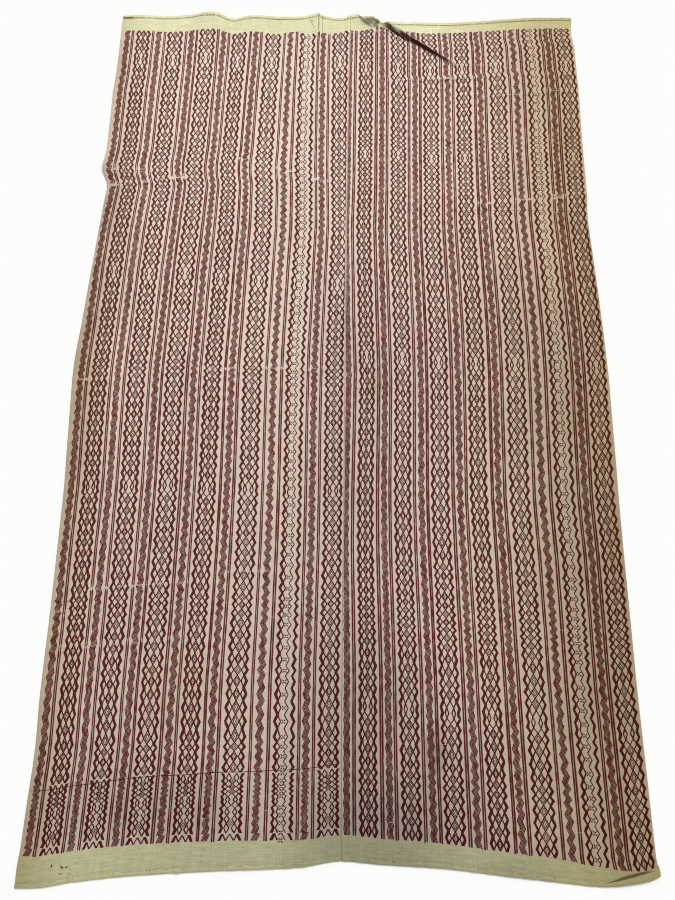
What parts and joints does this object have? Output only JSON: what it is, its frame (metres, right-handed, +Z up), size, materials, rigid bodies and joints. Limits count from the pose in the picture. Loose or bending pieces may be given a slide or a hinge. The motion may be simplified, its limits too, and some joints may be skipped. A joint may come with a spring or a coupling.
{
  "type": "handwoven cotton cloth",
  "caption": "Handwoven cotton cloth of panels sewn edge to edge, with lengthwise bands of lozenges and zigzags and plain hemmed ends, lying flat on a floor.",
  "frame": {"origin": "on the floor, under the middle of the cloth's box", "axes": "+Z up from the floor, +Y along the length towards the end with the slanting pleat, +X to the right across the width"},
  "size_m": [1.126, 1.8919, 0.0132],
  "materials": {
    "cloth_left": "matt handwoven cotton",
    "cloth_right": "matt handwoven cotton"
  },
  "bodies": {
    "root": {"panel_left": "cloth_left", "panel_right": "cloth_right"}
  },
  "joints": []
}
